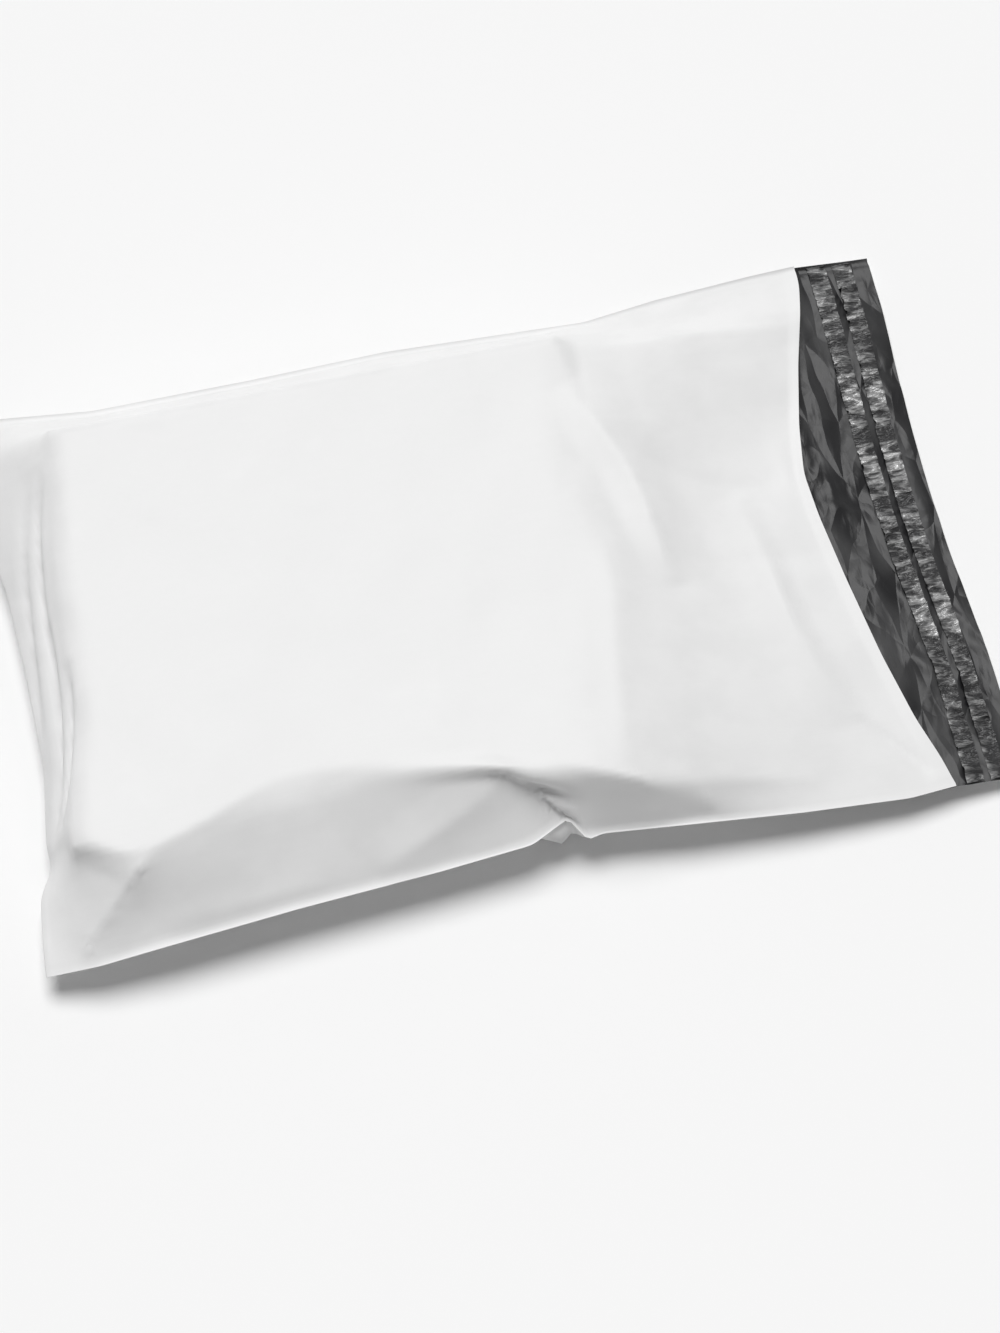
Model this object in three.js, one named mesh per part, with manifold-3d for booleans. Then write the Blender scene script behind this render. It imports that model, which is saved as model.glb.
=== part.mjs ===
// A plastic mailing bag, lying filled on a table with its flap open.
//
// One sheet of white film with a black inside is folded across the bottom of the bag and welded
// along both sides. The back panel runs on past the mouth as the flap, which carries two lines of
// glue, each under its own release liner. Millimetres, +X from the bottom fold to the flap,
// +Y across the bag, +Z up out of the front panel.

import * as THREE from "three";
import { mergeVertices } from "three/addons/utils/BufferGeometryUtils.js";
import Module from "manifold-3d";

// The flat bag, as it is sold.
const flatWidth = 250; // across, between the trimmed side edges
const flatLength = 350; // from the bottom fold to the lip of the front panel
const flapLength = 32; // how far the back panel runs past the lip
const film = 0.5; // wall of the modelled film
const sealWidth = 3; // side weld, where both films are one

// The glue lines and their liners, laid across the flap from the mouth outwards.
const glueThickness = 0.3;
const linerThickness = 0.3;
const innerGlueWidth = 6;
const outerGlueWidth = 6;
const linerOverlap = 1; // how far a liner reaches past its glue on each side
const linerGap = 3; // bare film between the two liners
const mouthToLiner = 5; // bare film between the mouth and the first liner
const endClearance = 1; // the liners stop this far inside the flap's side edges
const glueEndInset = 2; // and the glue stops this far inside the liners' ends

// The filled shape: a flat top over the contents, a flat belly, and slopes to the seams.
const fillHeight = 36; // outside height over the contents
const seamHeight = 14; // the side seams hang this far above the table
const mouthHeight = 9; // the seams come down to this at the mouth, and the flap stays there
const shoulderRadius = 7; // how softly a slope turns into the flat top
const foldRun = 16; // horizontal run of the slope at the bottom fold
const farRun = 16; // and of the slope along the far side
const mouthRun = 92; // and of the long slope down to the lip
const bellyRun = 26; // horizontal run of the slopes under the bag
const bellyMouthRun = 105; // and of the back panel as it rises to the mouth
const lipRise = 12; // the lip gapes this far above the flap at its middle
const lipBow = 22; // and is drawn back this far towards the contents

// The near side slopes more gently where the contents sit back from the seam:
// how far along the flat bag, and the horizontal run of the slope there.
const nearRuns = [
  [0, 30],
  [110, 42],
  [180, 24],
  [230, 14],
  [350, 10],
];

// The pinch in the near seam, with a crease that climbs from it to the shoulder.
const tuckAt = 203; // along the seam from the bottom fold
const tuckDepth = 8; // how far the seam is drawn in
const tuckSpread = 16; // how far along the seam that reaches
const creaseLean = 26; // the crease leans this far towards the fold on its way up
const creaseDepth = 4;
const creaseWidth = 11;

const white = 0xf0f0f0;
const clear = 0xb9bcc0;
const amber = 0xc9c4b4;

const wasm = await Module();
wasm.setup();

const panelRise = fillHeight - film - seamHeight; // from the seams up to the flat top, inside
const foldMargin = Math.hypot(foldRun, panelRise); // film between the fold and the flat top
const farMargin = Math.hypot(farRun, panelRise);

// The lesser of two values, blended over a stretch of the given width around where they meet.
function softMin(a, b, width) {
  const overlap = Math.max(width - Math.abs(a - b), 0);
  return Math.min(a, b) - (overlap * overlap) / (4 * width);
}

function smoothStep(from, to, value) {
  return THREE.MathUtils.smoothstep(value, from, to);
}

// A table of [place, value] pairs read at any place between them, eased from one to the next.
function eased(table, place) {
  const next = table.findIndex(([at]) => at >= place);
  if (next <= 0) return table[next === 0 ? 0 : table.length - 1][1];
  const [from, low] = table[next - 1];
  const [to, high] = table[next];
  return low + (high - low) * smoothStep(from, to, place);
}

// From 0 at both side seams to 1 in the middle of the bag.
function arch(t, power) {
  return 1 - Math.abs((2 * t) / flatWidth - 1) ** power;
}

function nearMargin(s) {
  return Math.hypot(eased(nearRuns, s), panelRise);
}

// Height of the welded seams, which come down to the flap at the mouth.
function seamLevel(s) {
  return seamHeight + (mouthHeight - seamHeight) * smoothStep(slopeStart, flatLength, s);
}

// The contents' share of the full height at a point of the flat bag: 0 at seams and fold,
// 1 on the flat top, with straight slopes between them that meet in ridges at the corners.
function fillShare(s, t, margins, mouthShare) {
  const softness = shoulderRadius / margins.near;
  const across = softMin(
    Math.max(t - sealWidth, 0) / (margins.near - sealWidth),
    Math.max(flatWidth - sealWidth - t, 0) / (margins.far - sealWidth),
    softness,
  );
  const along = softMin(Math.max(s - film, 0) / (margins.fold - film), mouthShare, softness);
  return Math.max(softMin(softMin(across, along, softness), 1, softness), 0);
}

// How far the crease of the pinch cuts into the front panel.
function creaseCut(s, t) {
  const climb = t / nearMargin(tuckAt);
  const fromLine = Math.abs(s - tuckAt + creaseLean * climb);
  const fade = climb * Math.max(1 - climb, 0) * 4;
  return creaseDepth * Math.max(1 - fromLine / creaseWidth, 0) * Math.min(fade, 1);
}

// Where a line across the bag that starts at s crosses t: the lines lean with the crease,
// so that it runs along one of them.
function leaning(s, t) {
  const climb = t / nearMargin(tuckAt);
  const nearness = Math.max(1 - Math.abs(s - tuckAt) / (2.5 * creaseLean), 0);
  return s - creaseLean * Math.min(climb, 1) * (1 - smoothStep(1, 3, climb)) * nearness;
}

// The inner face of the front panel above the seams' own height.
function frontHeight(s, t) {
  const lipShare = (lipRise * arch(t, 2)) / panelRise;
  const fall = THREE.MathUtils.clamp((s - slopeStart) / mouthRun, -1, 1);
  const mouthShare = 1 + (lipShare - 1) * fall;
  const margins = { near: nearMargin(s), far: farMargin, fold: foldMargin };
  const rise = panelRise * fillShare(s, t, margins, mouthShare);
  return seamLevel(s) + Math.max(rise - creaseCut(s, t), 0);
}

// The inner face of the back panel, from the belly on the table to the level flap.
function backHeight(s, t) {
  const depth = seamHeight - film;
  const margin = Math.hypot(bellyRun, depth);
  const mouthShare = THREE.MathUtils.clamp((flatLength - s) / bellyMouthRun, 0, 2);
  const margins = { near: margin, far: margin, fold: margin };
  return seamLevel(s) - (seamLevel(s) - film) * fillShare(s, t, margins, mouthShare);
}

// How far a side seam is drawn in by the slope that climbs from it.
function sideInset(s, margin, run) {
  const filled = smoothStep(0, foldMargin, s) * (1 - smoothStep(slopeStart, flatLength, s));
  return (margin - run) * filled;
}

function nearSeam(s) {
  const pinch = tuckDepth * Math.max(1 - Math.abs(s - tuckAt) / tuckSpread, 0) ** 1.5;
  return -flatWidth / 2 + sideInset(s, nearMargin(s), eased(nearRuns, s)) + pinch;
}

function farSeam(s) {
  return flatWidth / 2 - sideInset(s, farMargin, farRun);
}

// Where a line of film across the bag lies in plan, with its length kept as it climbs and falls.
// Its first and last steps are the side welds.
function acrossBag(s, levels) {
  const last = levels.length - 1;
  const run = [0, 0];
  for (let j = 2; j < last; j++) {
    const length = acrossPlaces[j] - acrossPlaces[j - 1];
    const climb = Math.min(Math.abs(levels[j] - levels[j - 1]), 0.9 * length);
    run.push(run[j - 1] + Math.sqrt(length * length - climb * climb));
  }
  const near = nearSeam(s) + sealWidth;
  const far = farSeam(s) - sealWidth;
  const between = run.slice(1).map((r) => near + ((far - near) * r) / run.at(-1));
  return [nearSeam(s), ...between, farSeam(s)];
}

// The fold is drawn in at its middle by the slope that climbs from it, and the lip by its bow.
function planX(s, t, bow) {
  const foldInset = (foldMargin - foldRun) * smoothStep(0, farMargin, Math.min(t, flatWidth - t));
  const end = flatLength - bow * arch(t, 1.4) * (t > sealWidth && t < flatWidth - sealWidth);
  return s > flatLength ? s : foldInset + ((end - foldInset) * s) / flatLength;
}

// The places of the grid lines: from each break to the next in steps of about the size that
// stepAt gives there.
function places(breaks, stepAt) {
  const ordered = [...new Set(breaks)].sort((a, b) => a - b);
  const found = [ordered[0]];
  ordered.slice(1).forEach((to, i) => {
    const from = ordered[i];
    const count = Math.max(Math.round((to - from) / stepAt((from + to) / 2)), 1);
    for (let n = 1; n <= count; n++) found.push(from + ((to - from) * n) / count);
  });
  return found;
}

// Fine steps where the film bends, and coarse ones where it is nearly flat.
const fineStep = 6;
const creaseStep = 4;
const coarseStep = 18;
const nearSlopeEnd = 60;
const farSlopeStart = flatWidth - farMargin - shoulderRadius;
const foldSlopeEnd = foldMargin + 2 * shoulderRadius;
const pinchStart = tuckAt - creaseLean - creaseWidth;
const pinchEnd = tuckAt + tuckSpread;
const slopeStart = flatLength - mouthRun;

const acrossPlaces = places(
  [0, sealWidth, nearSlopeEnd, farSlopeStart, flatWidth - sealWidth, flatWidth],
  (t) => (t > nearSlopeEnd && t < farSlopeStart ? coarseStep : fineStep),
);
const alongPlaces = places(
  [0, film, foldSlopeEnd, pinchStart, tuckAt, pinchEnd, slopeStart, flatLength],
  (s) => {
    if (s > pinchStart && s < pinchEnd) return creaseStep;
    return s < foldSlopeEnd ? fineStep : coarseStep;
  },
);
const flapPlaces = [flatLength + flapLength / 2, flatLength + flapLength];

function innerFace(heightAt, bow, lines) {
  return lines.map((start) => {
    const along = acrossPlaces.map((t) => leaning(start, t));
    const levels = acrossPlaces.map((t, j) => heightAt(along[j], t));
    const across = acrossBag(start, levels);
    return acrossPlaces.map((t, j) => new THREE.Vector3(planX(along[j], t, bow), across[j], levels[j]));
  });
}

// The unit normal at each point of a grid of points, upwards.
function normals(grid) {
  const clampIndex = (i, length) => Math.min(Math.max(i, 0), length - 1);
  return grid.map((row, i) =>
    row.map((_, j) => {
      const ahead = grid[clampIndex(i + 1, grid.length)][j];
      const behind = grid[clampIndex(i - 1, grid.length)][j];
      const left = grid[i][clampIndex(j + 1, row.length)];
      const right = grid[i][clampIndex(j - 1, row.length)];
      const along = ahead.clone().sub(behind);
      return along.cross(left.clone().sub(right)).normalize();
    }),
  );
}

// A closed sheet of film between an inner grid of points and the same grid moved out by the wall.
function filmSheet(inner, outward) {
  const facing = normals(inner);
  const outer = inner.map((row, i) =>
    row.map((p, j) => p.clone().addScaledVector(facing[i][j], outward * film)),
  );
  const rows = inner.length;
  const columns = inner[0].length;
  const positions = [...inner.flat(), ...outer.flat()].flatMap((p) => [p.x, p.y, p.z]);
  const at = (layer, i, j) => layer * rows * columns + i * columns + j;
  const triangles = [];
  const quad = (a, b, c, d) => triangles.push(a, b, c, a, c, d);
  for (let i = 0; i < rows - 1; i++) {
    for (let j = 0; j < columns - 1; j++) {
      quad(at(1, i, j), at(1, i + 1, j), at(1, i + 1, j + 1), at(1, i, j + 1));
      quad(at(0, i, j), at(0, i, j + 1), at(0, i + 1, j + 1), at(0, i + 1, j));
    }
  }
  for (let i = 0; i < rows - 1; i++) {
    quad(at(0, i, 0), at(0, i + 1, 0), at(1, i + 1, 0), at(1, i, 0));
    const last = columns - 1;
    quad(at(1, i, last), at(1, i + 1, last), at(0, i + 1, last), at(0, i, last));
  }
  for (let j = 0; j < columns - 1; j++) {
    quad(at(1, 0, j), at(1, 0, j + 1), at(0, 0, j + 1), at(0, 0, j));
    const last = rows - 1;
    quad(at(0, last, j), at(0, last, j + 1), at(1, last, j + 1), at(1, last, j));
  }
  if (outward < 0) triangles.reverse();
  const sheet = new THREE.BufferGeometry();
  sheet.setAttribute("position", new THREE.Float32BufferAttribute(positions, 3));
  sheet.setIndex(triangles);
  return sheet;
}

function toSolid(geometry) {
  const bare = geometry.clone();
  bare.deleteAttribute("normal");
  bare.deleteAttribute("uv");
  const merged = mergeVertices(bare, 1e-4);
  const vertProperties = merged.attributes.position.array;
  return new wasm.Manifold(
    new wasm.Mesh({ numProp: 3, vertProperties, triVerts: new Uint32Array(merged.index.array) }),
  );
}

function toGeometry(solid) {
  const mesh = solid.getMesh();
  const geometry = new THREE.BufferGeometry();
  geometry.setAttribute("position", new THREE.BufferAttribute(mesh.vertProperties, 3));
  geometry.setIndex(new THREE.BufferAttribute(mesh.triVerts, 1));
  geometry.computeVertexNormals();
  return geometry;
}

// Front and back films share the face of their welds and of the fold, and are one sheet there.
function mailerFilm() {
  const front = toSolid(filmSheet(innerFace(frontHeight, lipBow, alongPlaces), 1));
  const back = toSolid(filmSheet(innerFace(backHeight, 0, [...alongPlaces, ...flapPlaces]), -1));
  const material = new THREE.MeshStandardMaterial({ color: white, roughness: 0.4, metalness: 0 });
  const mesh = new THREE.Mesh(toGeometry(front.add(back)), material);
  mesh.name = "mailer_film";
  return mesh;
}

// A flat strip across the flap, from x outwards by its width, at the given height.
function strip(name, x, width, inset, level, thickness, material) {
  const mesh = new THREE.Mesh(
    new THREE.BoxGeometry(width, flatWidth - 2 * inset, thickness),
    material,
  );
  mesh.name = name;
  mesh.position.set(x + width / 2, 0, level + thickness / 2);
  return mesh;
}

function sealStrips() {
  const glue = new THREE.MeshStandardMaterial({ color: amber, roughness: 0.35, metalness: 0 });
  const liner = new THREE.MeshStandardMaterial({ color: clear, roughness: 0.2, metalness: 0 });
  const strips = [];
  let x = flatLength + mouthToLiner;
  for (const [side, width] of [["inner", innerGlueWidth], ["outer", outerGlueWidth]]) {
    const glueInset = endClearance + glueEndInset;
    const linerLevel = mouthHeight + glueThickness;
    strips.push(
      strip(`adhesive_${side}`, x + linerOverlap, width, glueInset, mouthHeight, glueThickness, glue),
      strip(
        `release_liner_${side}`, x, width + 2 * linerOverlap,
        endClearance, linerLevel, linerThickness, liner,
      ),
    );
    x += width + 2 * linerOverlap + linerGap;
  }
  return strips;
}

const mailer = new THREE.Group();
mailer.add(mailerFilm(), ...sealStrips());

// The origin is under the middle of the bag, on the table.
const box = new THREE.Box3().setFromObject(mailer, true);
const middle = box.getCenter(new THREE.Vector3());
mailer.position.set(-middle.x, -middle.y, -box.min.z);

export default mailer;
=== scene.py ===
"""A plastic mailing bag, filled and lying on its back panel, with its flap open."""

import math

import bpy
import numpy as np
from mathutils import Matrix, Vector


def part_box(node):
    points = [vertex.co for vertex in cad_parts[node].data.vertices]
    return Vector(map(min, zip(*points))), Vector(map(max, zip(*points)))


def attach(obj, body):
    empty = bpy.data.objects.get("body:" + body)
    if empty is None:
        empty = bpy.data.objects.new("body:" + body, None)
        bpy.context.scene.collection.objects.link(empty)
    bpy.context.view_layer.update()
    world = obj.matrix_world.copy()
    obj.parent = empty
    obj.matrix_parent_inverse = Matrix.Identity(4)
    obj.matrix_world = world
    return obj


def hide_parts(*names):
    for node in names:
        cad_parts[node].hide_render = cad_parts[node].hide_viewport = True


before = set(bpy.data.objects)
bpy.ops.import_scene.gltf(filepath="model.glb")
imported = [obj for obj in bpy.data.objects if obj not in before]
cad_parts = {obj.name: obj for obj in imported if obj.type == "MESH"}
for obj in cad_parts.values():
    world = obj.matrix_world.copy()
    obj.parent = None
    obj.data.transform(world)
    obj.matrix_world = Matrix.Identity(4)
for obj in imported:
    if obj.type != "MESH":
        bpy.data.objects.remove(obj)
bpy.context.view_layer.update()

MM = 0.001  # shapes are worked out in millimetres and stored in metres

# The bag's flat sizes and the flap's height come from the frame.
film_low, film_high = (np.array(corner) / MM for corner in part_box("mailer_film"))
inner_liner = np.array(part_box("release_liner_inner")) / MM
outer_liner = np.array(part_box("release_liner_outer")) / MM
inner_glue = np.array(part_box("adhesive_inner")) / MM
outer_glue = np.array(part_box("adhesive_outer")) / MM
FOLD_X = film_low[0]
FLAT_WIDTH = film_high[1] - film_low[1]
MOUTH_TO_LINER = 5  # bare film between the lip's ends and the inner liner
LIP_X = inner_liner[0][0] - MOUTH_TO_LINER
PANEL = LIP_X - FOLD_X  # length of the flat bag
SHEET = film_high[0] - FOLD_X  # length of the back panel with the flap
FLAP_LEVEL = inner_glue[0][2]
FILM = 0.1  # thickness of the film
WELD = 1.3  # width of the welded strip along each side
WELD_CURL = 0.9  # how much higher the far weld's free edge stands than its inner side
SKEW = 3.2  # how much further the far side reaches at the mouth
FLAP_DROOP = 4  # how far the flap's edge hangs below its root
FLAP_EDGE = (-3.5, 3)  # how far the flap's edge stands out, at its near and far ends
# How far the flap is drawn back at places across it, by the crumpling at its root.
FLAP_BOW = [(-125, 0), (-70, 0), (-20, -3), (10, -3.5), (40, -3), (100, 0), (125, 0)]

# The filling, as the film shows it: a flat pack with a soft end towards the mouth. Its two ends
# are given as (y, x) and its near side as (x, y).
PACK_TOP = film_high[2] - FILM
PACK_ROUND = 5  # how far in from its sides the top is rounded, and how deep
PACK_FOLD_ROUND = 11  # how far in from its end at the fold
PACK_END_ROUND = 26  # and from its end at the mouth, which starts part of the way up
PACK_END_START = 0.35
PACK_FAR = 97
NO_PACK = -100  # the height outside it, below everything
PACK_FOLD_END = [
    (-125, -170), (-86, -175), (-67, -171), (-34, -164), (36, -162), (77, -157), (125, -155),
]
PACK_MOUTH_END = [
    (-125, 28), (-95, 33), (-67, 39), (-37, 46), (-22, 49.5), (21, 49), (50, 50), (70, 54),
    (97, 60), (125, 60),
]
PACK_NEAR = [
    (-178, -84), (-163, -92), (-149, -100), (-137, -95), (-120, -90), (-101, -82), (-86, -79),
    (-49, -83), (-13, -91), (30, -103), (60, -109),
]

# The big creases that the film keeps while it settles. Each point gives the place along and
# across the flat bag, then where it lies in x, y and z.
HELD_CREASES = [
    [(201.5, 3, 10.5, -104.8, 19), (180, 28, -12, -90, 33.5)],
    [(45, 33, -149.5, -100, 34.5), (19, 9, -173.5, -117.5, 17.2)],
]

# Stretches of the front panel that are pulled flat: how far in from its outline each becomes
# flat, and the corners of its convex outline in x and y, anticlockwise.
FLAT_FACETS = [
    (22, [(56, -36), (150, -36), (168, 128), (52, 128)]),
    (14, [(52, -96), (70, -124), (166, -124), (150, -16), (62, -16)]),
    (5, [(-128, -96), (-136, -116), (-66, -113), (-22, -93), (-52, -86.5), (-100, -87)]),
]

# Creases pressed into the settled front panel: points on the film in x, y and z, the height of
# the crease (less than 0 for a valley), and how far the film rises or falls to its left and right.
PRESSED_CREASES = [
    ([(-158, 84, 27), (-167, 44, 24), (-170, 4, 24), (-172, -30, 23)], -4, 4, 8),
    ([(-168, 16, 25), (-171, -30, 24), (-174, -58, 22), (-178, -75, 16)], -3.6, 3, 7),
    ([(-161, -6, 32), (-166, -31, 30), (-170, -54, 28), (-175, -74, 22)], -3.6, 3, 6),
    ([(-160, 84, 19), (-171, 45, 17), (-175, 20, 16), (-180, -30, 14)], -2.6, 4, 6),
    ([(-178, -76, 18), (-166, -90, 25), (-153, -103, 29)], -1.5, 11, 18),
    ([(51, 72, 35), (60, 48, 34), (70, 23, 33), (74, -24, 30)], 4.2, 20, 13),
    ([(73, 37, 31), (95, 23, 25), (114, 17, 19), (130, 20, 15)], -1.3, 30, 12),
    ([(49, 0, 35), (49, -22, 35), (44, -45, 35), (39, -70, 35), (33, -99, 33)], 0.8, 16, 9),
    ([(106, 14, 21), (112, -9, 20), (116, -54, 17), (129, -89, 14)], 2.2, 9, 24),
    ([(130, -87, 14), (142, -103, 11), (151, -116, 9)], -1.2, 4, 6),
    ([(62, 89, 34), (80, 89, 31), (107, 91, 25), (156, 93, 13)], 6, 22, 60),
    ([(22, -104, 30), (60, -106, 27), (87, -108, 22), (112, -111, 16)], 0.7, 9, 6),
    ([(-11, -91, 33), (-37, -103, 25), (-64, -114, 19)], 1.7, 12, 15),
    ([(-150, -114, 18), (-112, -115, 18), (-82, -112, 19)], 0.5, 8, 6),
]

# The side welds, as (place along the bag, y, z) from the fold to the lip.
NEAR_WELD = [
    (0, -124, 10), (20, -126, 14.8), (45, -124.8, 17.2), (96, -120.7, 17.5), (150, -117.3, 17),
    (186, -114.2, 17), (201.5, -107, 18.5), (206.5, -115.8, 14.5), (213, -114.2, 14.5),
    (247, -118.4, 15.5), (289, -122, 13.5), (331, -123.8, 10.5), (350, -122, 9), (390, -122, 9),
]
FAR_WELD = [
    (0, 124, 9), (20, 120, 12), (55, 114.5, 14), (120, 115, 14), (176, 116.5, 14),
    (258, 113.5, 13), (289, 119, 11), (331, 123, 9.6), (350, 124, 9.3), (390, 124, 9),
]
# The bottom fold, as (place across the bag, how far it is drawn in, z).
FOLD = [
    (0, 0, 9.6), (14, 1, 11), (32, 3, 11.4), (44, 9, 9), (52, 8, 10), (85, 12, 10),
    (125, 11.5, 10), (165, 9.5, 10), (192, 5.5, 10), (210, 3, 11), (232, 0.5, 10), (250, 0, 9),
]
# The lip, as (place across the bag, how far it is drawn back, how far it gapes).
LIP = [
    (0, 0, 0.4), (12, 2.5, 0.8), (30, 8, 1.5), (60, 14, 3.2), (95, 19, 5), (125, 22.5, 6.5),
    (145, 23.5, 7), (168, 19.5, 6), (198, 12, 4), (225, 4, 2), (240, 0.5, 1), (250, 0, 0.4),
]

# The distances, each way, over which the corners of those curves are rounded.
SOFT_WELD = 2
SOFT_EDGE = 4
SOFT_WIDE = 8

# The front panel settles on a coarse grid and then on two finer ones, of half the step each.
ROWS_FRONT = 42
ROWS_BACK = 46
COLUMNS = 31
STEPS = (120, 100, 60)  # steps of its motion on each grid
LEVELS = len(STEPS)
PASSES = 4  # how often its lengths are restored in a step
CARRIED = 0.9  # share of a step's motion that the next one carries on
FASTEST = 1  # how far a point may be carried in a step
SAG = 0.01  # how far the film sinks in a step on the coarse grid
PUSH = 0.7  # share of a shortened length that is restored, along and across the bag
PUSH_SLANTED = 0.3  # and along the diagonals
BEND = 0.15  # and over two steps of the grid, where it resists being bent
TAKEN_UP = 0.075  # share of the film's length in folds too small to draw
HOLD_REACH = 0.6  # how near a held crease the grid's points are put on it, in steps
CLEARANCE = 0.6  # how far above the back panel it stays
PRESSED_NEARER = 0.2  # how much nearer the pressed creases may come
FLATTEN_PASSES = 400
RIDGE_POWER = 1.5  # how steeply a pressed crease falls off to its sides
FADE_POWER = 0.8  # and towards its ends

# The rim of the lip, which is turned up.
LIP_ROLL = 5  # how wide it is
LIP_RISE = 1.1
LIP_CORNER = 30  # how far from the welds it is fully turned up

# The near weld's tuck. The back panel stands out below it, and hangs.
TUCK_AT = 198  # its place along the bag
TUCK_SPREAD = 13
TUCK_BULGE = 12
TUCK_SAG = 5
TUCK_FULL = 7  # how far in from the weld it is full
TUCK_FADES = (9, 34)  # and from where to where it fades

# How far in from the welds, the fold and the mouth the back panel has come down to the table.
DOWN_FROM_WELD = 30
DOWN_FROM_FOLD = 26
DOWN_FROM_MOUTH = 105
UP_AT_MOUTH = 8  # it starts down this far in from the mouth
ABOVE_TABLE = 0.05  # how far above the table its outside stays

# How far below the front panel's outside the back panel's lies, in films: in the welds and
# beside them, from this far along the bag.
WELD_FILMS = 2
SIDE_FILMS = 4
FILMS_FROM = 2

# Where, along the bag from the mouth, each of these starts and is full.
DRAWN_BACK = (-30, 5)
LOOSE = (-90, -30)
DROOP_START = -20
DROOP_PAST_EDGE = 10  # the droop would be full this far past the flap's edge
LOOSE_SIDE = 14  # how far in from the welds the film is fully loose

# The creases of the loose film: tents of chance place, direction, length, width and height.
CREASES = 190
CREASE_SEED = 5
CREASE_START = 60  # how far inside the mouth they start
CREASE_MARGIN = 4  # how far from the welds their middles stay
CREASE_TURN = 0.6  # spread of their directions about straight across the bag, in radians
CREASE_LENGTH = (6, 26)
CREASE_WIDTH = (2.5, 6)
CREASE_RISE = 0.8
CREASE_FADE = 0.7  # power by which they fall off towards their ends

# The glue and its liners, which follow the film, and the liners' narrow puckers.
STRIP_THICKNESS = 0.06
GLUE_LIFT = 0.23
LINER_LIFT = 0.38
LINER_PUCKER = 0.8  # height of the tallest pucker
PUCKER_PITCH = 2.4  # mean distance between puckers
PUCKER_LEAN = 0.3
PUCKER_WIDTH = (0.8, 2.6)
PUCKER_SHARE = (0.1, 1)  # of the tallest one's height
PUCKER_DRAWN = (-0.5, 0.2)  # how far the strip's edges are drawn in or out beside it
GLUE_GRID = (500, 9)  # points along each strip and across it
LINER_GRID = (760, 12)

FOLD_HOLD = 0.1  # how near two rows lie beside the fold, to keep it sharp, in rows
FOLD_GAP = FILM * 1.2  # how far above and below the fold they lie

WHITE_LOW = (0.76, 0.76, 0.76)
WHITE_HIGH = (0.79, 0.79, 0.79)
BLACK = (0.007, 0.007, 0.008)
# painted sheen: the grey that the black film's gloss reflections give, painted into its colour
BLACK_PAINTED_SHEEN = (0.055, 0.055, 0.056)
# painted shade between the liner's puckers and painted highlight on their crests
LINER_PAINTED_SHADE = (0.02, 0.02, 0.021)
LINER_PAINTED_HIGHLIGHT = (0.4, 0.4, 0.4)
GLUE_THIN = (0.12, 0.115, 0.1)
GLUE_THICK = (0.25, 0.24, 0.21)
FLOOR_COLOUR = (0.92, 0.92, 0.92, 1)

FLOOR_SIZE = 6  # in metres
SUN_HEIGHT = math.radians(65)
SUN_SPREAD = math.radians(40)
SUN_SHARE = 0.77  # of the light on level ground; the room gives the rest
BACKDROP = 0.92  # how bright the room looks behind the floor

# The camera, fitted to the bag's corners in the photograph.
FRAME_LONG_SIDE = 1333
FOCAL_PIXELS = 3059.6
SENSOR = 36
LOOK_AT = (1.8, -28.9, 0)
AZIMUTH = math.radians(-12.7)
ELEVATION = math.radians(62)
DISTANCE = 1200


def smooth(low, high, value):
    """0 below low, 1 above high, and an S-curve between them."""
    part = np.clip((value - low) / (high - low), 0, 1)
    return part * part * (3 - 2 * part)


def along_curve(points, column, place, soften):
    """The curve through given points, with its corners rounded: the mean of the straight
    line between the points over a stretch of plus and minus soften."""
    known = np.array(points, float)
    shifts = np.linspace(-soften, soften, 9)
    return np.mean([np.interp(place + d, known[:, 0], known[:, column]) for d in shifts], axis=0)


def weld_line(points, s, inward):
    """A side weld at s along the bag, moved inward across it. The far weld is drawn out evenly
    towards the mouth."""
    y = along_curve(points, 1, s, SOFT_WELD)
    x = FOLD_X + s + SKEW * (y / FLAT_WIDTH + 0.5) * np.minimum(s / PANEL, 1)
    return np.stack([x, y + inward, along_curve(points, 2, s, SOFT_WELD)], axis=-1)


def fold_line(t):
    """The bottom fold at t across the bag."""
    x = FOLD_X + along_curve(FOLD, 1, t, SOFT_EDGE)
    y = np.interp(t, [0, FLAT_WIDTH], [NEAR_WELD[0][1], FAR_WELD[0][1]])
    return np.stack([x, y, along_curve(FOLD, 2, t, SOFT_EDGE)], axis=-1)


def lip_line(t):
    """The front panel's free edge at t across the bag."""
    near, far = NEAR_WELD[-2][1], FAR_WELD[-2][1]
    y = near + (far - near) * t / FLAT_WIDTH
    x = LIP_X + SKEW * (y / FLAT_WIDTH + 0.5) - along_curve(LIP, 1, t, SOFT_EDGE)
    return np.stack([x, y, FLAP_LEVEL + along_curve(LIP, 2, t, SOFT_EDGE)], axis=-1)


def pack_height(x, y):
    """Height of the filling under a point: its top, less a quarter-round drop towards each of
    its four edges, and far below the table outside them."""
    near = along_curve(PACK_NEAR, 1, x, SOFT_WIDE)
    start = along_curve(PACK_FOLD_END, 1, y, SOFT_WIDE)
    end = along_curve(PACK_MOUTH_END, 1, y, SOFT_WIDE)
    side = np.minimum(y - near, PACK_FAR - y) / PACK_ROUND
    inside = np.minimum(side, (x - start) / PACK_FOLD_ROUND)
    inside = np.minimum(inside, (end - x) / PACK_END_ROUND + PACK_END_START)
    drop = PACK_ROUND * (1 - np.sqrt(1 - (1 - np.clip(inside, 0, 1)) ** 2))
    return np.where(inside > 0, PACK_TOP - drop, NO_PACK)


def halves(size, offset):
    """Slices that pair each point with the one that lies offset further on, in as many sets as
    it takes for no point to be in one set twice."""
    step = 2 * offset
    return [(slice(k, size - offset, step), slice(k + offset, size, step)) for k in range(step)]


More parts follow.
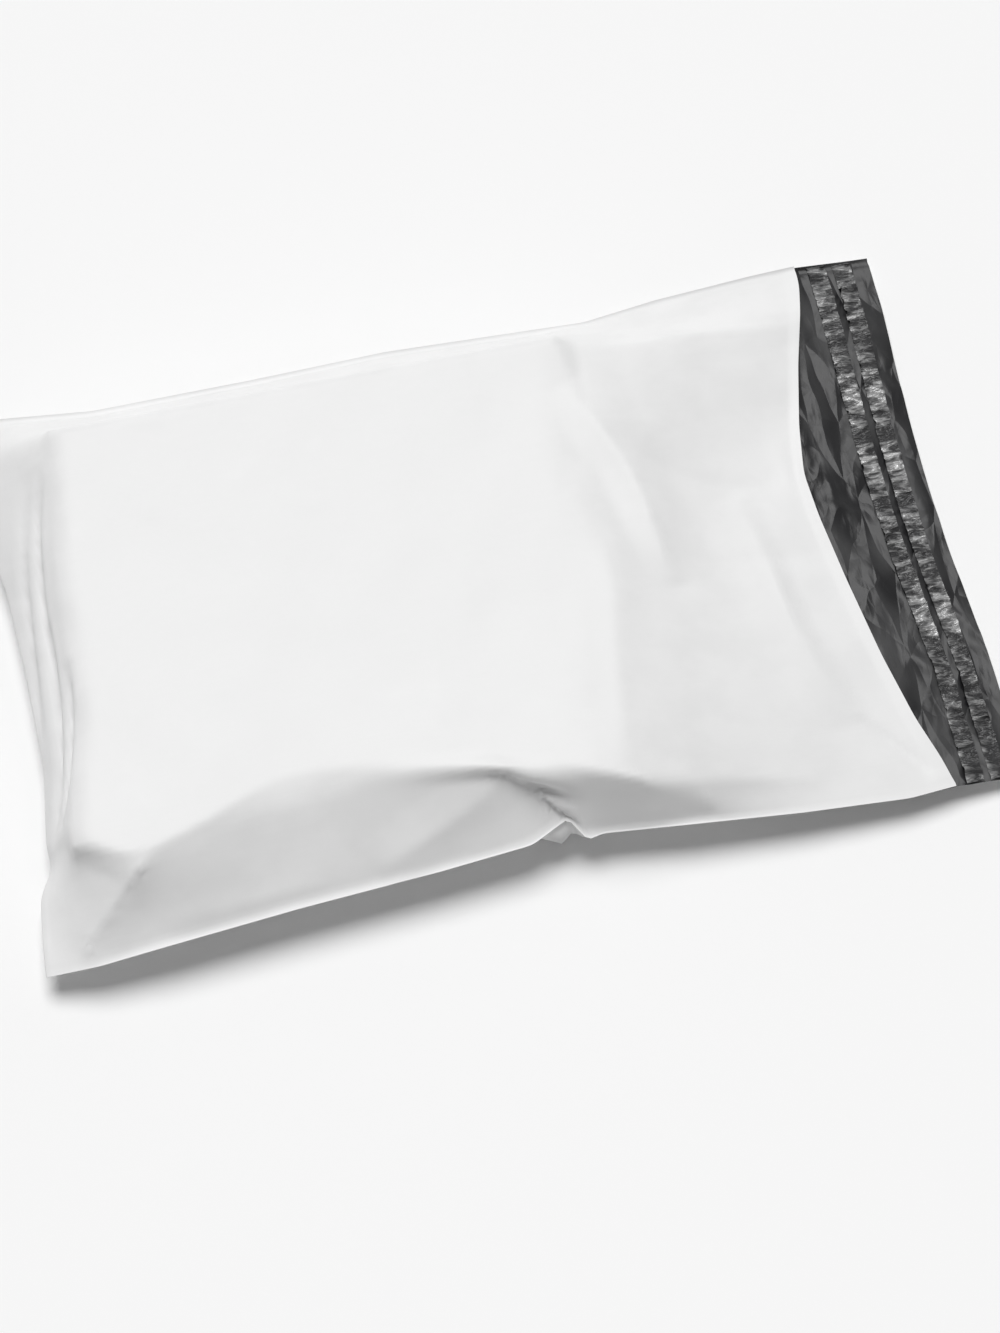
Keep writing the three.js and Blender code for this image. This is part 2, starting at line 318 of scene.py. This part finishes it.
def edges(shape, reach, diagonal):
    """Pairs of slices over the grid: along both directions, or along both diagonals."""
    rows, columns = shape
    everything = slice(None)
    pairs = []
    if not diagonal:
        for a, b in halves(rows, reach):
            pairs.append(((a, everything), (b, everything)))
        for a, b in halves(columns, reach):
            pairs.append(((everything, a), (everything, b)))
        return pairs
    left, right = slice(0, columns - 1), slice(1, columns)
    for a, b in halves(rows, 1):
        pairs.append(((a, left), (b, right)))
        pairs.append(((a, right), (b, left)))
    return pairs


def pull(points, freedom, a, b, rest, push):
    """Moves the two ends of each edge to its flat length: fully where it is stretched, and by
    the share push where it is shortened, because film buckles before it shortens."""
    gap = points[b] - points[a]
    length = np.sqrt((gap * gap).sum(axis=-1)) + 1e-9
    weight = freedom[a] + freedom[b] + 1e-9
    change = (length - rest) / (length * weight)
    change = np.where(length > rest, change, push * change)[..., None] * gap
    points[a] += freedom[a][..., None] * change
    points[b] -= freedom[b][..., None] * change


def flat_length(a, b, step_s, step_t):
    """The flat length of the edges between two sets of points: whole steps along the bag, whose
    length differs from column to column, and whole steps across it."""
    along = (b[0].start or 0) - (a[0].start or 0)
    across = (b[1].start or 0) - (a[1].start or 0)
    return np.hypot(along * step_s[a[1]], across * step_t)[None]


def lift_clear(points, freedom, underside):
    """Lifts the free points of the film off the filling and off what is under them."""
    level = np.maximum(pack_height(points[..., 0], points[..., 1]), underside)
    points[..., 2] = np.where(freedom > 0, np.maximum(points[..., 2], level), points[..., 2])


def settle(points, freedom, step_s, step_t, underside, steps, sag):
    """Lets a grid of film come to rest: each step carries on its damped motion and its sag,
    then restores the film's flat lengths and lifts it clear of what it lies on."""
    before = points.copy()
    links = [
        (a, b, flat_length(a, b, step_s, step_t), push)
        for reach, diagonal, push in ((1, False, PUSH), (1, True, PUSH_SLANTED), (2, False, BEND))
        for a, b in edges(points.shape[:2], reach, diagonal)
    ]
    for _ in range(steps):
        motion = np.clip(points - before, -FASTEST, FASTEST) * CARRIED
        before = points.copy()
        points += motion * freedom[..., None]
        points[..., 2] -= sag * freedom
        for _ in range(PASSES):
            for a, b, rest, push in links:
                pull(points, freedom, a, b, rest, push)
            lift_clear(points, freedom, underside)


def hold(points, freedom, s, t, line):
    """Fixes the grid's points next to a crease on the crease: each is put where the crease's
    nearest point lies in space."""
    step = max(s[1] - s[0], t[1] - t[0])
    place = np.stack(np.meshgrid(s, t, indexing="ij"), -1)
    for start, end in zip(np.array(line[:-1], float), np.array(line[1:], float)):
        way = end[:2] - start[:2]
        part = np.clip(((place - start[:2]) @ way) / (way @ way), 0, 1)[..., None]
        away = np.linalg.norm(place - start[:2] - part * way, axis=-1)
        near = away < HOLD_REACH * step
        points[near] = (start[2:] + part * (end[2:] - start[2:]))[near]
        freedom[near] = 0


def patch(s, t, near, far, fold, lip, length):
    """The Coons patch of four edges: the blend of opposite edges both ways, less the blend of
    the four corners."""
    u = (s / length)[..., None]
    v = (t / FLAT_WIDTH)[..., None]
    corners = (
        (1 - u) * ((1 - v) * fold[0] + v * fold[-1]) + u * ((1 - v) * lip[0] + v * lip[-1])
    )
    sides = (1 - v) * near[:, None] + v * far[:, None]
    return sides + (1 - u) * fold[None] + u * lip[None] - corners


def finer(points):
    """The same surface on a grid of half the step, by straight lines between its points."""
    for axis in (0, 1):
        points = np.moveaxis(points, axis, 0)
        between = (points[1:] + points[:-1]) / 2
        out = np.empty((2 * len(points) - 1, *points.shape[1:]))
        out[::2], out[1::2] = points, between
        points = np.moveaxis(out, 0, axis)
    return points


def front_panel(back):
    """The front panel, draped over the filling between the welds, the fold and the lip, first
    on a coarse grid and then on two finer ones. It stays above the back panel."""
    points = None
    for level, steps in enumerate(STEPS):
        rows, columns = ROWS_FRONT * 2**level, COLUMNS * 2**level
        s = np.linspace(0, PANEL, rows + 1)
        t = np.linspace(0, FLAT_WIDTH, columns + 1)
        near, far = weld_line(NEAR_WELD, s, 0), weld_line(FAR_WELD, s, 0)
        fold, lip = fold_line(t), lip_line(t)
        if points is None:
            grid_s, grid_t = np.meshgrid(s, t, indexing="ij")
            points = patch(grid_s, grid_t, near, far, fold, lip, PANEL)
            points[..., 2] = np.maximum(
                points[..., 2], pack_height(points[..., 0], points[..., 1])
            )
        else:
            points = finer(points)
        points[0], points[-1], points[:, 0], points[:, -1] = fold, lip, near, far
        freedom = np.ones(points.shape[:2])
        freedom[0] = freedom[-1] = 0
        freedom[:, 0] = freedom[:, -1] = 0
        if level == LEVELS - 1:
            points[1:, 1] = weld_line(NEAR_WELD, s, WELD)[1:]
            points[1:, -2] = weld_line(FAR_WELD, s, -WELD)[1:] - (0, 0, WELD_CURL)
            freedom[:, 1] = freedom[:, -2] = 0
        if level > 0:
            for line in HELD_CREASES:
                hold(points, freedom, s, t, line)
        below = s / SHEET * (len(back) - 1)
        row, part = below.astype(int), (below % 1)[:, None]
        heights = back[:, :: 2 ** (LEVELS - 1 - level), 2]
        underside = (1 - part) * heights[row] + part * heights[row + 1] + CLEARANCE
        taken_up = TAKEN_UP * (1 - (2 * t / FLAT_WIDTH - 1) ** 2)
        settle(
            points, freedom, PANEL / rows * (1 - taken_up), FLAT_WIDTH / columns,
            underside, steps, SAG / 2**level,
        )
    for edge, corners in FLAT_FACETS:
        flatten(points, edge, corners)
    from_weld = np.minimum(t, FLAT_WIDTH - t)
    turned_up = smooth(PANEL - LIP_ROLL, PANEL, s)[:, None] * smooth(0, LIP_CORNER, from_weld)
    points[..., 2] += LIP_RISE * turned_up
    for line, height, left, right in PRESSED_CREASES:
        press(points, s, t, line, height, left, right)
    inner = points[1:-1, 2:-2, 2]
    np.maximum(inner, underside[1:-1, 2:-2] - PRESSED_NEARER, out=inner)
    return points


def flatten(points, edge, corners):
    """Pulls the film flat inside a convex outline in x and y: each pass moves every point towards
    the mean of its four neighbours, by a share that falls to nothing at the outline."""
    inside = np.full(points.shape[:2], np.inf)
    for (x0, y0), (x1, y1) in zip(corners, corners[1:] + corners[:1]):
        side = (x1 - x0) * (points[..., 1] - y0) - (y1 - y0) * (points[..., 0] - x0)
        inside = np.minimum(inside, side / math.hypot(x1 - x0, y1 - y0))
    share = smooth(0, edge, inside)[1:-1, 2:-2, None]
    for _ in range(FLATTEN_PASSES):
        mean = (
            points[:-2, 2:-2] + points[2:, 2:-2] + points[1:-1, 1:-3] + points[1:-1, 3:-1]
        ) / 4
        points[1:-1, 2:-2] += share * (mean - points[1:-1, 2:-2])


def surface_normals(points):
    """The unit normals of a grid: the cross product of its two directions."""
    normal = np.cross(np.gradient(points, axis=0), np.gradient(points, axis=1))
    return normal / np.linalg.norm(normal, axis=-1, keepdims=True)


def press(points, s, t, line, height, left, right):
    """Presses a crease into the film along its normals. The crease's points are carried to the
    nearest points of the grid, and distances are measured on the flat film from there. Its
    height at a point is a power of the share of that side's width that is left there, times a
    power of the parabola that is 1 at the middle of the line and 0 at both its ends."""
    place = np.stack(np.meshgrid(s, t, indexing="ij"), -1)
    flat = []
    for point in line:
        away = ((points - np.array(point, float)) ** 2).sum(-1)
        flat.append(place[np.unravel_index(np.argmin(away), away.shape)])
    flat = rounded(np.array(flat))
    run = np.concatenate([[0], np.cumsum(np.linalg.norm(np.diff(flat, axis=0), axis=-1))])
    best = np.full(place.shape[:2], np.inf)
    share = np.zeros(place.shape[:2])
    for start, end, from_start, to_end in zip(flat[:-1], flat[1:], run[:-1], run[1:]):
        way = end - start
        part = np.clip(((place - start) @ way) / (way @ way), 0, 1)
        offset = place - start - part[..., None] * way
        away = np.linalg.norm(offset, axis=-1)
        width = np.where(offset[..., 0] * way[1] - offset[..., 1] * way[0] < 0, left, right)
        along = (from_start + part * (to_end - from_start)) / run[-1]
        fade = np.clip(4 * along * (1 - along), 0, 1) ** FADE_POWER
        closer = away < best
        best = np.where(closer, away, best)
        share = np.where(closer, fade * np.clip(1 - away / width, 0, 1) ** RIDGE_POWER, share)
    points += (height * share)[..., None] * surface_normals(points)


def rounded(line):
    """A line with its corners cut twice, each time at a quarter and three quarters of every
    stretch (Chaikin's rule)."""
    for _ in range(2):
        first, second = line[:-1], line[1:]
        cuts = np.stack([0.75 * first + 0.25 * second, 0.25 * first + 0.75 * second], 1)
        line = np.concatenate([line[:1], cuts.reshape(-1, 2), line[-1:]])
    return line


def past_mouth(start, full, s):
    """0 up to start past the mouth and 1 from full past it, with an S-curve between."""
    return smooth(PANEL + start, PANEL + full, s)


def back_panel():
    """The back panel and the flap, as the Coons patch of the welds, the fold and the flap's
    edge: pressed on the table by the filling, level at the flap, and crumpled where loose."""
    rows, columns = ROWS_BACK * 2 ** (LEVELS - 1), COLUMNS * 2 ** (LEVELS - 1)
    s = np.linspace(0, SHEET, rows + 1)
    t = np.linspace(0, FLAT_WIDTH, columns + 1)
    near, far = weld_line(NEAR_WELD, s, 0), weld_line(FAR_WELD, s, 0)
    edge_x = film_high[0] + np.linspace(*FLAP_EDGE, columns + 1)
    edge_y = np.linspace(near[-1, 1], far[-1, 1], columns + 1)
    edge = np.stack([edge_x, edge_y, np.full(columns + 1, FLAP_LEVEL)], -1)
    near[:, 0] += FLAP_EDGE[0] * smooth(PANEL, SHEET, s)
    grid_s, grid_t = np.meshgrid(s, t, indexing="ij")
    points = patch(grid_s, grid_t, near, far, fold_line(t), edge, SHEET)
    points[1:, 1] = near[1:] + (0, WELD, 0)
    points[1:, -2] = far[1:] - (0, WELD, WELD_CURL)
    x, y, z = np.moveaxis(points, -1, 0)
    side = np.minimum(grid_t, FLAT_WIDTH - grid_t)
    z *= 1 - (
        smooth(WELD, DOWN_FROM_WELD, side)
        * smooth(0, DOWN_FROM_FOLD, grid_s)
        * (1 - past_mouth(-DOWN_FROM_MOUTH, -UP_AT_MOUTH, grid_s))
    )
    tuck = np.clip(1 - np.abs(grid_s - TUCK_AT) / TUCK_SPREAD, 0, 1)
    tuck *= smooth(WELD, TUCK_FULL, grid_t) * (1 - smooth(*TUCK_FADES, grid_t))
    y -= TUCK_BULGE * tuck
    z -= TUCK_SAG * tuck
    films = np.where(side < WELD, WELD_FILMS, SIDE_FILMS)
    z -= films * FILM * np.minimum(grid_s / FILMS_FROM, 1)
    x += past_mouth(*DRAWN_BACK, grid_s) * along_curve(FLAP_BOW, 1, y, SOFT_WIDE)
    z -= FLAP_DROOP * smooth(PANEL + DROOP_START, SHEET + DROOP_PAST_EDGE, grid_s)
    loose = past_mouth(*LOOSE, grid_s) * smooth(WELD, LOOSE_SIDE, side)
    z += loose * crumple(grid_s, grid_t)
    np.maximum(z, ABOVE_TABLE, out=z)
    return points


def crumple(s, t):
    """Height of the creases in the loose film of the flap and the mouth: the sum of short
    tent-shaped folds of chance place, direction, length, width and height."""
    chance = np.random.default_rng(CREASE_SEED)
    first = (PANEL - CREASE_START, CREASE_MARGIN)
    last = (SHEET, FLAT_WIDTH - CREASE_MARGIN)
    height = np.zeros_like(s)
    for _ in range(CREASES):
        centre = chance.uniform(first, last)
        turn = chance.normal(math.pi / 2, CREASE_TURN)
        length, width = chance.uniform(*CREASE_LENGTH), chance.uniform(*CREASE_WIDTH)
        rise = chance.uniform(-CREASE_RISE, CREASE_RISE)
        ds, dt = s - centre[0], t - centre[1]
        along = ds * math.cos(turn) + dt * math.sin(turn)
        across = dt * math.cos(turn) - ds * math.sin(turn)
        tent = np.clip(1 - np.abs(across) / width, 0, 1)
        height += rise * tent * np.clip(1 - np.abs(along) / length, 0, 1) ** CREASE_FADE
    return height


def on_film(back, s, t):
    """The point of the back panel's film at s along and t across it, by straight lines between
    the four grid points around it."""
    # Places stay a thousandth short of the last grid line, so that each has a next line.
    row = np.clip(s / SHEET * (len(back) - 1), 0, len(back) - 1.001)
    column = np.clip(t / FLAT_WIDTH * (back.shape[1] - 1), 0, back.shape[1] - 1.001)
    i, j = row.astype(int), column.astype(int)
    u, v = (row - i)[..., None], (column - j)[..., None]
    low = (1 - v) * back[i, j] + v * back[i, j + 1]
    high = (1 - v) * back[i + 1, j] + v * back[i + 1, j + 1]
    return (1 - u) * low + u * high


def strip(name, back, box, lift, pucker, seed, grid):
    """A strip along the flap that lies on its creased film: the film's own surface, plus lift,
    plus puckers, which are narrow folds straight across the strip at chance places."""
    low, high = box
    chance = np.random.default_rng(seed)
    t, s = np.meshgrid(
        np.linspace(low[1], high[1], grid[0]) + FLAT_WIDTH / 2,
        np.linspace(low[0], high[0], grid[1]) - FOLD_X,
        indexing="ij",
    )
    middle = s.mean()
    height = np.full_like(s, lift)
    drawn = np.zeros_like(s)
    for place in chance.uniform(t[0, 0], t[-1, 0], int((high[1] - low[1]) / PUCKER_PITCH)):
        lean = chance.normal(0, PUCKER_LEAN)
        width = chance.uniform(*PUCKER_WIDTH)
        fold = np.clip(1 - np.abs(t - place - lean * (s - middle)) / width, 0, 1)
        height += pucker * chance.uniform(*PUCKER_SHARE) * fold
        drawn += chance.uniform(*PUCKER_DRAWN) * fold
    points = on_film(back, s + pucker * drawn * (s - middle) / (s.max() - middle), t)
    points[..., 2] += height
    return film_mesh(name, points, t, s - s[0, 0])


def film_mesh(name, grid, across, along):
    """A mesh of quads over a grid of points. Its UV map holds the flat film's own two
    distances, in metres."""
    rows, columns = grid.shape[:2]
    index = np.arange(rows * columns).reshape(rows, columns)
    quads = np.stack([index[:-1, :-1], index[1:, :-1], index[1:, 1:], index[:-1, 1:]], -1)
    mesh = bpy.data.meshes.new(name)
    mesh.from_pydata((grid.reshape(-1, 3) * MM).tolist(), [], quads.reshape(-1, 4).tolist())
    mesh.polygons.foreach_set("use_smooth", np.ones(len(mesh.polygons), bool))
    ends = np.empty(2 * len(mesh.edges), int)
    mesh.edges.foreach_get("vertices", ends)
    row, column = np.divmod(ends.reshape(-1, 2), columns)
    borders = (row == 0, row == rows - 1, column == 0, column == columns - 1)
    sharp = mesh.attributes.new("sharp_edge", "BOOLEAN", "EDGE")
    sharp.data.foreach_set("value", np.any([border.all(axis=1) for border in borders], axis=0))
    flat = np.stack([along.ravel(), across.ravel()], -1) * MM
    layer = mesh.uv_layers.new(name="flat")
    layer.data.foreach_set("uv", flat[quads.reshape(-1)].ravel())
    mesh.update()
    piece = bpy.data.objects.new(name, mesh)
    bpy.context.scene.collection.objects.link(piece)
    return piece


class Value:
    """A number that varies over a surface. Python's operators on it add Math nodes."""

    def __init__(self, graph, socket):
        self.graph = graph
        self.socket = socket

    def __add__(self, other):
        return self.graph.math("ADD", self, other)

    def __mul__(self, other):
        return self.graph.math("MULTIPLY", self, other)

    __radd__ = __add__
    __rmul__ = __mul__


class Graph:
    """The nodes of a material or a world, up to its last one, which shades it."""

    def __init__(self, owner, last):
        owner.use_nodes = True
        self.owner = owner
        self.nodes = owner.node_tree.nodes
        self.links = owner.node_tree.links
        self.last = self.nodes[last]

    def node(self, kind, settings, sockets, output=None):
        """A new node: its settings are made first, and then its sockets, named by identifier,
        are given numbers, colours or links. Gives back one output."""
        node = self.nodes.new(kind)
        for name, value in settings.items():
            setattr(node, name, value)
        self.fill(node, sockets)
        if output is None:
            return Value(self, node.outputs[0])
        return Value(self, next(s for s in node.outputs if s.identifier == output))

    def fill(self, node, sockets):
        """Gives sockets of a node, by identifier, their values or links."""
        for name, value in sockets.items():
            socket = next(s for s in node.inputs if s.identifier == name)
            if isinstance(value, Value):
                self.links.new(value.socket, socket)
            else:
                socket.default_value = value

    def complete(self, sockets):
        """Fills the last node, and gives back the material or the world."""
        self.fill(self.last, sockets)
        return self.owner

    def math(self, operation, first, second):
        return self.node(
            "ShaderNodeMath", {"operation": operation}, {"Value": first, "Value_001": second}
        )


class Finish(Graph):
    """One material, with the few kinds of node that the films need."""

    def __init__(self, name):
        super().__init__(bpy.data.materials.new(name), "Principled BSDF")

    def flat_place(self, along, across):
        """The place on the flat film, in units of along and across metres."""
        place = self.node("ShaderNodeUVMap", {"uv_map": "flat"}, {})
        return self.node(
            "ShaderNodeVectorMath",
            {"operation": "DIVIDE"},
            {"Vector": place, "Vector_001": (along, across, 1)},
        )

    def noise(self, place, detail, roughness=0.5, distortion=0):
        """Soft noise from 0 to 1, with one swell to each unit of place."""
        return self.node("ShaderNodeTexNoise", {"noise_dimensions": "2D"}, {
            "Vector": place,
            "Scale": 1,
            "Detail": detail,
            "Roughness": roughness,
            "Distortion": distortion,
        })

    def facets(self, place, warp):
        """Low pyramids of chance outline, one to each unit of place: the distance to the edge
        of a Voronoi cell, with the place first moved about by a wider noise."""
        wander = self.node(
            "ShaderNodeTexNoise",
            {"noise_dimensions": "2D"},
            {"Vector": place, "Scale": 0.7},
            "Color",
        )
        moved = self.node(
            "ShaderNodeVectorMath",
            {"operation": "MULTIPLY_ADD"},
            {"Vector": wander, "Vector_001": (warp, warp, 0), "Vector_002": place},
        )
        return self.node(
            "ShaderNodeTexVoronoi",
            {"voronoi_dimensions": "2D", "feature": "DISTANCE_TO_EDGE"},
            {"Vector": moved, "Scale": 1},
        )

    def step(self, value, low, high):
        """0 below low and 1 above high, with an S-curve between."""
        return self.node(
            "ShaderNodeMapRange",
            {"interpolation_type": "SMOOTHSTEP"},
            {"Value": value, "From Min": low, "From Max": high, "To Min": 0, "To Max": 1},
        )

    def mix(self, share, first, second):
        """A colour between two others."""
        return self.node(
            "ShaderNodeMix",
            {"data_type": "RGBA"},
            {"Factor_Float": share, "A_Color": (*first, 1), "B_Color": (*second, 1)},
            "Result_Color",
        )

    def bump(self, height, distance):
        """A normal that follows a height of 0 to 1, over distance metres."""
        return self.node(
            "ShaderNodeBump", {}, {"Height": height, "Distance": distance, "Strength": 1}
        )


def white_film():
    """Opaque white film: satin, a little mottled, with soft dents, a fine grain and the flow
    lines of its blowing along the bag."""
    finish = Finish("white_film")
    dents = finish.noise(finish.flat_place(along=0.045, across=0.06), detail=1)
    waves = finish.noise(finish.flat_place(along=0.016, across=0.024), detail=1)
    grain = finish.noise(finish.flat_place(along=0.0011, across=0.0009), detail=2)
    flow = finish.noise(finish.flat_place(along=0.12, across=0.0016), detail=1)
    mottle = finish.noise(finish.flat_place(along=0.03, across=0.022), detail=3, roughness=0.6)
    height = dents + waves * 0.12 + grain * 0.006 + flow * 0.008
    return finish.complete({
        "Base Color": finish.mix(finish.step(mottle, 0.3, 0.7), WHITE_LOW, WHITE_HIGH),
        "Roughness": 0.38 + mottle * 0.2,
        "Normal": finish.bump(height, distance=0.0016),
        "Specular IOR Level": 0.4,
    })


def black_film():
    """The film's glossy black inside. It is crumpled into flat facets, each the slope of a low
    pyramid, with a finer crumple on them, and has painted sheen: grey in soft patches, painted
    into its colour in place of its gloss reflections."""
    finish = Finish("black_film")
    broad = finish.facets(finish.flat_place(along=0.016, across=0.04), warp=0.6)
    fine = finish.facets(finish.flat_place(along=0.0045, across=0.01), warp=0.9)
    dents = finish.noise(finish.flat_place(along=0.02, across=0.03), detail=2)
    sheen_noise = finish.noise(finish.flat_place(along=0.014, across=0.04), detail=1)
    # painted sheen: soft grey patches in the colour stand in for the film's gloss reflections
    sheen_patches = finish.step(sheen_noise, 0.35, 0.8)
    return finish.complete({
        "Base Color": finish.mix(sheen_patches, BLACK, BLACK_PAINTED_SHEEN),
        "Roughness": 0.3 + sheen_patches * 0.15,
        "Specular IOR Level": 0.22,
        "Normal": finish.bump(broad + fine * 0.07 + dents * 0.8, distance=0.0036),
    })


def liner_film():
    """Thin silvery release film over clear glue: it has shrunk into close puckers straight
    across the strip, with painted highlights on their crests and painted shade between, and is
    painted brighter in patches."""
    finish = Finish("liner_film")
    place = finish.flat_place(along=0.01, across=0.003)
    puckers = finish.noise(place, detail=3, roughness=0.65, distortion=0.5)
    fine = finish.noise(finish.flat_place(along=0.003, across=0.0007), detail=2)
    patches = finish.noise(finish.flat_place(along=0.02, across=0.012), detail=2)
    height = puckers + fine * 0.25
    # painted highlight and shade: the colour is bright where the puckers and the patches stand
    # high, and dark between them
    light = finish.step(height * 0.75 + patches * 0.7, 0.72, 1.08)
    return finish.complete({
        "Base Color": finish.mix(light, LINER_PAINTED_SHADE, LINER_PAINTED_HIGHLIGHT),
        "Roughness": 0.12 + fine * 0.18,
        "Metallic": light * 0.4,
        "Specular IOR Level": 0.3,
        "Normal": finish.bump(height, distance=0.0014),
    })


def glue_film():
    """Clear soft glue with a milky cast, levelled by its own flow."""
    finish = Finish("glue")
    swells = finish.noise(finish.flat_place(along=0.006, across=0.009), detail=2)
    return finish.complete({
        "Base Color": finish.mix(swells, GLUE_THIN, GLUE_THICK),
        "Roughness": 0.12 + swells * 0.12,
        "Normal": finish.bump(swells, distance=0.0006),
    })


def floor_paint():
    """Matt pale paint with a faint roller texture."""
    finish = Finish("floor_paint")
    place = finish.node("ShaderNodeTexCoord", {}, {}, "Object")
    texture = finish.node("ShaderNodeTexNoise", {}, {"Vector": place, "Scale": 900, "Detail": 2})
    return finish.complete({
        "Base Color": FLOOR_COLOUR,
        "Roughness": 0.88 + texture * 0.04,
        "Specular IOR Level": 0.2,
    })


def room():
    """A plain bright world. What the camera, gloss and clear film see of it is the backdrop;
    its light on everything else is what the sun leaves."""
    graph = Graph(bpy.data.worlds.new("room"), "Background")
    seen = graph.node("ShaderNodeLightPath", {}, {}, "Is Camera Ray")
    for kind in ("Is Glossy Ray", "Is Transmission Ray"):
        seen = graph.math("MAXIMUM", seen, graph.node("ShaderNodeLightPath", {}, {}, kind))
    strength = graph.node(
        "ShaderNodeMapRange", {}, {"Value": seen, "To Min": 1 - SUN_SHARE, "To Max": BACKDROP}
    )
    return graph.complete({"Strength": strength, "Color": (1, 1, 1, 1)})


def stage():
    """A pale floor, a broad soft sun from the far side and the room around them."""
    bpy.ops.mesh.primitive_plane_add(size=FLOOR_SIZE)
    floor = bpy.context.object
    floor.name = "floor"
    floor.data.materials.append(floor_paint())
    towards = Vector((0, math.cos(SUN_HEIGHT), math.sin(SUN_HEIGHT)))
    sun = bpy.data.lights.new("sun", "SUN")
    sun.angle = SUN_SPREAD
    sun.energy = math.pi * SUN_SHARE / towards.z
    lamp = bpy.data.objects.new("sun", sun)
    lamp.rotation_euler = towards.to_track_quat("Z", "Y").to_euler()
    bpy.context.scene.collection.objects.link(lamp)
    bpy.context.scene.world = room()


def camera():
    """A camera that looks at LOOK_AT from the photograph's side and height."""
    lens = bpy.data.cameras.new("camera")
    lens.sensor_width = SENSOR
    lens.lens = FOCAL_PIXELS * SENSOR / FRAME_LONG_SIDE
    view = bpy.data.objects.new("camera", lens)
    away = np.array([
        math.sin(AZIMUTH) * math.cos(ELEVATION),
        -math.cos(AZIMUTH) * math.cos(ELEVATION),
        math.sin(ELEVATION),
    ])
    view.location = (np.array(LOOK_AT) + DISTANCE * away) * MM
    view.rotation_euler = (math.pi / 2 - ELEVATION, 0, AZIMUTH)
    bpy.context.scene.collection.objects.link(view)
    bpy.context.scene.camera = view


back = back_panel()
front = front_panel(back)
fold = back[:1]
over_fold = fold + FOLD_HOLD * (front[1:2] - fold) + (0, 0, FOLD_GAP)
under_fold = fold + FOLD_HOLD * (back[1:2] - fold) - (0, 0, FOLD_GAP)
whole = np.concatenate([front[:0:-1], over_fold, fold, under_fold, back[1:]])
run = np.concatenate([np.linspace(-PANEL, 0, len(front)), np.linspace(0, SHEET, len(back))])
run = np.insert(run, len(front), 0)
along, across = np.meshgrid(run, np.linspace(0, FLAT_WIDTH, whole.shape[1]), indexing="ij")
film_piece = film_mesh("bag_film", whole[::-1], across[::-1], along[::-1])
wall = film_piece.modifiers.new("thickness", "SOLIDIFY")
wall.thickness = FILM * MM
wall.offset = -1  # the grid is the film's outside
wall.material_offset = 1  # its inside has the second material
film_piece.data.materials.append(white_film())
film_piece.data.materials.append(black_film())
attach(film_piece, "root")
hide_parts("mailer_film")

glue_look, liner_look = glue_film(), liner_film()
for side, glue_box, liner_box, seed in (
    ("inner", inner_glue, inner_liner, 11),
    ("outer", outer_glue, outer_liner, 12),
):
    glue = strip(f"glue_{side}", back, glue_box, GLUE_LIFT, 0, seed, GLUE_GRID)
    liner = strip(
        f"liner_{side}", back, liner_box, LINER_LIFT, LINER_PUCKER, seed, LINER_GRID
    )
    for piece, node, look, slot in (
        (glue, f"adhesive_{side}", glue_look, "adhesive"),
        (liner, f"release_liner_{side}", liner_look, "liner"),
    ):
        body = piece.modifiers.new("thickness", "SOLIDIFY")
        body.thickness = STRIP_THICKNESS * MM
        piece.data.materials.append(look)
        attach(piece, "root")
        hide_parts(node)

stage()
camera()
bpy.context.scene.view_settings.view_transform = "Standard"
